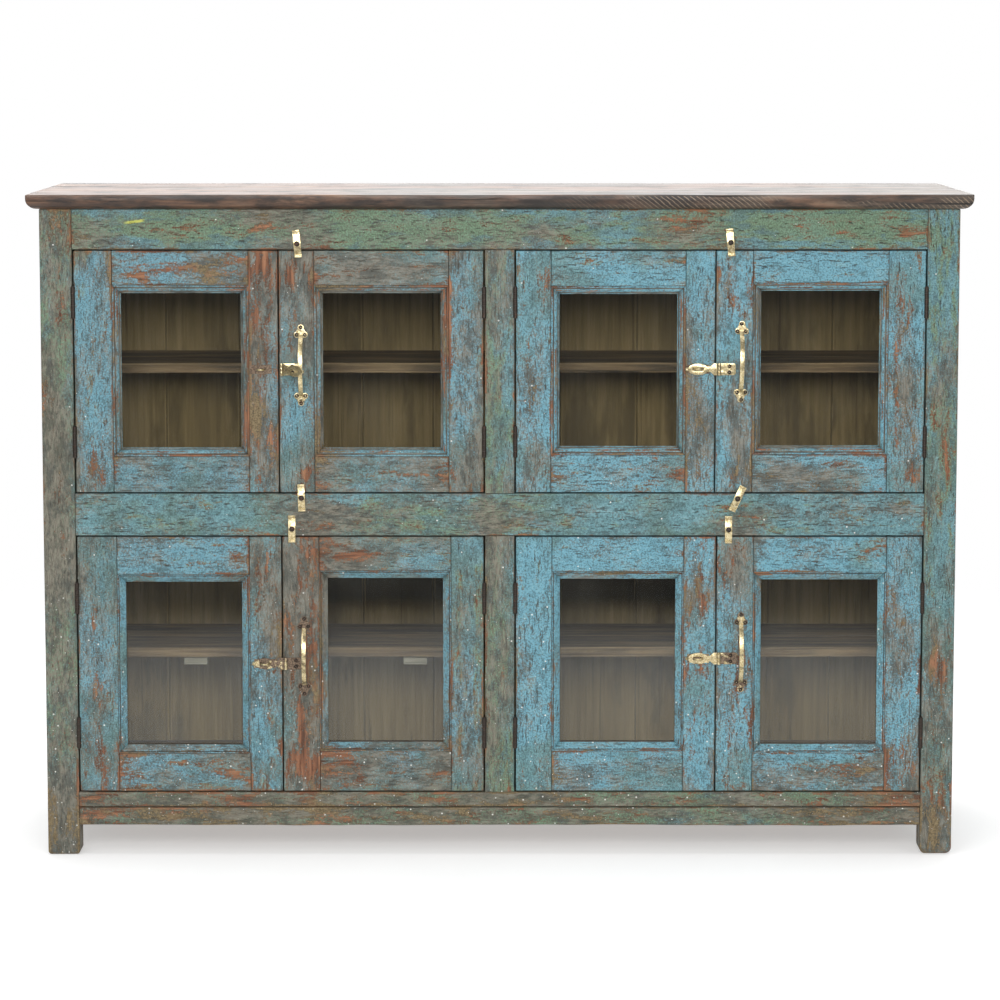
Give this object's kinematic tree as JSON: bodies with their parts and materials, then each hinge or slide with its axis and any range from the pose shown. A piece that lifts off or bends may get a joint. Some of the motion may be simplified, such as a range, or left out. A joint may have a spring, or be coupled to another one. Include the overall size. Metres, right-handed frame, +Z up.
{
  "type": "china cabinet",
  "caption": "Low wide glazed cabinet with two tiers of paired framed glass doors, shelves, bow handles, hasps and turn buttons on a post and rail frame.",
  "frame": {"origin": "on the floor, under the middle of the whole object's box", "axes": "+Z up, +X along the width to the right as seen from the front, doors face -Y"},
  "size_m": [1.584, 0.4649, 1.13],
  "materials": {
    "case_paint": "worn green-blue paint over brown wood",
    "door_paint": "worn sky-blue paint over brown wood",
    "dark_top_wood": "dark waxed old boards",
    "bare_wood": "bare aged softwood",
    "glass": "clear thin window glass",
    "rusty_steel": "rusty dark steel",
    "worn_brass": "worn, tarnished in the hollows"
  },
  "bodies": {
    "root": {"top_boards": "dark_top_wood", "front_post_left": "case_paint", "front_post_right": "case_paint", "rear_posts": "case_paint", "top_rail": "case_paint", "middle_rail": "case_paint", "bottom_rail": "case_paint", "centre_stiles": "case_paint", "side_panels": "case_paint", "frame_rails": "case_paint", "back_boards": "bare_wood", "centre_partition": "bare_wood", "decks": "bare_wood", "shelves": "bare_wood", "shelf_bearers": "bare_wood", "hinge_fixed_leaves": "rusty_steel", "hinge_pins": "rusty_steel", "button_screws": "worn_brass"},
    "upper_door_1": {"upper_door_1_frame": "door_paint", "upper_door_1_glass": "glass", "upper_door_1_hinge_leaves": "rusty_steel", "upper_door_1_staple": "worn_brass"},
    "upper_door_2": {"upper_door_2_frame": "door_paint", "upper_door_2_glass": "glass", "upper_door_2_hinge_leaves": "rusty_steel", "upper_door_2_handle_and_hasp_plate": "worn_brass"},
    "upper_door_3": {"upper_door_3_frame": "door_paint", "upper_door_3_glass": "glass", "upper_door_3_hinge_leaves": "rusty_steel", "upper_door_3_staple": "worn_brass"},
    "upper_door_4": {"upper_door_4_frame": "door_paint", "upper_door_4_glass": "glass", "upper_door_4_hinge_leaves": "rusty_steel", "upper_door_4_handle_and_hasp_plate": "worn_brass"},
    "lower_door_1": {"lower_door_1_frame": "door_paint", "lower_door_1_glass": "glass", "lower_door_1_hinge_leaves": "rusty_steel", "lower_door_1_staple": "worn_brass"},
    "lower_door_2": {"lower_door_2_frame": "door_paint", "lower_door_2_glass": "glass", "lower_door_2_hinge_leaves": "rusty_steel", "lower_door_2_handle_and_hasp_plate": "worn_brass"},
    "lower_door_3": {"lower_door_3_frame": "door_paint", "lower_door_3_glass": "glass", "lower_door_3_hinge_leaves": "rusty_steel", "lower_door_3_staple": "worn_brass"},
    "lower_door_4": {"lower_door_4_frame": "door_paint", "lower_door_4_glass": "glass", "lower_door_4_hinge_leaves": "rusty_steel", "lower_door_4_handle_and_hasp_plate": "worn_brass"},
    "hasp_strap_upper_left": {"hasp_strap_upper_left": "worn_brass"},
    "hasp_strap_upper_right": {"hasp_strap_upper_right": "worn_brass"},
    "hasp_strap_lower_left": {"hasp_strap_lower_left": "worn_brass"},
    "hasp_strap_lower_right": {"hasp_strap_lower_right": "worn_brass"},
    "turn_button_top_left": {"turn_button_top_left": "worn_brass"},
    "turn_button_top_right": {"turn_button_top_right": "worn_brass"},
    "turn_button_middle_left": {"turn_button_middle_left": "worn_brass"},
    "turn_button_middle_right": {"turn_button_middle_right": "worn_brass"},
    "turn_button_lower_left": {"turn_button_lower_left": "worn_brass"},
    "turn_button_lower_right": {"turn_button_lower_right": "worn_brass"}
  },
  "joints": [
    {"name": "upper_door_1_hinge", "type": "hinge", "parent": "root", "child": "upper_door_1", "pos_m": [-0.7168, -0.189, 0.8305], "axis": [0, 0, -1], "range_deg": [0, 165]},
    {"name": "upper_door_2_hinge", "type": "hinge", "parent": "root", "child": "upper_door_2", "pos_m": [-0.0262, -0.189, 0.8305], "axis": [0, 0, 1], "range_deg": [0, 85]},
    {"name": "upper_door_3_hinge", "type": "hinge", "parent": "root", "child": "upper_door_3", "pos_m": [0.0262, -0.189, 0.8305], "axis": [0, 0, -1], "range_deg": [0, 85]},
    {"name": "upper_door_4_hinge", "type": "hinge", "parent": "root", "child": "upper_door_4", "pos_m": [0.7168, -0.189, 0.8305], "axis": [0, 0, 1], "range_deg": [0, 165]},
    {"name": "lower_door_1_hinge", "type": "hinge", "parent": "root", "child": "lower_door_1", "pos_m": [-0.7168, -0.189, 0.33075], "axis": [0, 0, -1], "range_deg": [0, 165]},
    {"name": "lower_door_2_hinge", "type": "hinge", "parent": "root", "child": "lower_door_2", "pos_m": [-0.0262, -0.189, 0.33075], "axis": [0, 0, 1], "range_deg": [0, 85]},
    {"name": "lower_door_3_hinge", "type": "hinge", "parent": "root", "child": "lower_door_3", "pos_m": [0.0262, -0.189, 0.33075], "axis": [0, 0, -1], "range_deg": [0, 85]},
    {"name": "lower_door_4_hinge", "type": "hinge", "parent": "root", "child": "lower_door_4", "pos_m": [0.7168, -0.189, 0.33075], "axis": [0, 0, 1], "range_deg": [0, 165]},
    {"name": "hasp_strap_upper_left_hinge", "type": "hinge", "parent": "upper_door_2", "child": "hasp_strap_upper_left", "pos_m": [-0.3674, -0.1906, 0.835], "axis": [0, 0, 1], "range_deg": [-134, 4]},
    {"name": "hasp_strap_upper_right_hinge", "type": "hinge", "parent": "upper_door_4", "child": "hasp_strap_upper_right", "pos_m": [0.3692, -0.1906, 0.8354], "axis": [0, 0, 1], "range_deg": [0, 138]},
    {"name": "hasp_strap_lower_left_hinge", "type": "hinge", "parent": "lower_door_2", "child": "hasp_strap_lower_left", "pos_m": [-0.3635, -0.1906, 0.3325], "axis": [0, 0, 1], "range_deg": [0, 138]},
    {"name": "hasp_strap_lower_right_hinge", "type": "hinge", "parent": "lower_door_4", "child": "hasp_strap_lower_right", "pos_m": [0.372, -0.1906, 0.3414], "axis": [0, 0, 1], "range_deg": [0, 138]},
    {"name": "turn_button_top_left_turn", "type": "hinge", "parent": "root", "child": "turn_button_top_left", "pos_m": [-0.3397, -0.1875, 1.0467], "axis": [0, 1, 0], "continuous": true},
    {"name": "turn_button_top_right_turn", "type": "hinge", "parent": "root", "child": "turn_button_top_right", "pos_m": [0.3871, -0.1875, 1.049], "axis": [0, 1, 0], "continuous": true},
    {"name": "turn_button_middle_left_turn", "type": "hinge", "parent": "root", "child": "turn_button_middle_left", "pos_m": [-0.3352, -0.1875, 0.617], "axis": [0, 1, 0], "continuous": true},
    {"name": "turn_button_middle_right_turn", "type": "hinge", "parent": "root", "child": "turn_button_middle_right", "pos_m": [0.402, -0.1875, 0.6155], "axis": [0, 1, 0], "continuous": true},
    {"name": "turn_button_lower_left_turn", "type": "hinge", "parent": "root", "child": "turn_button_lower_left", "pos_m": [-0.3516, -0.1875, 0.564], "axis": [0, 1, 0], "continuous": true},
    {"name": "turn_button_lower_right_turn", "type": "hinge", "parent": "root", "child": "turn_button_lower_right", "pos_m": [0.3871, -0.1875, 0.5627], "axis": [0, 1, 0], "continuous": true}
  ]
}
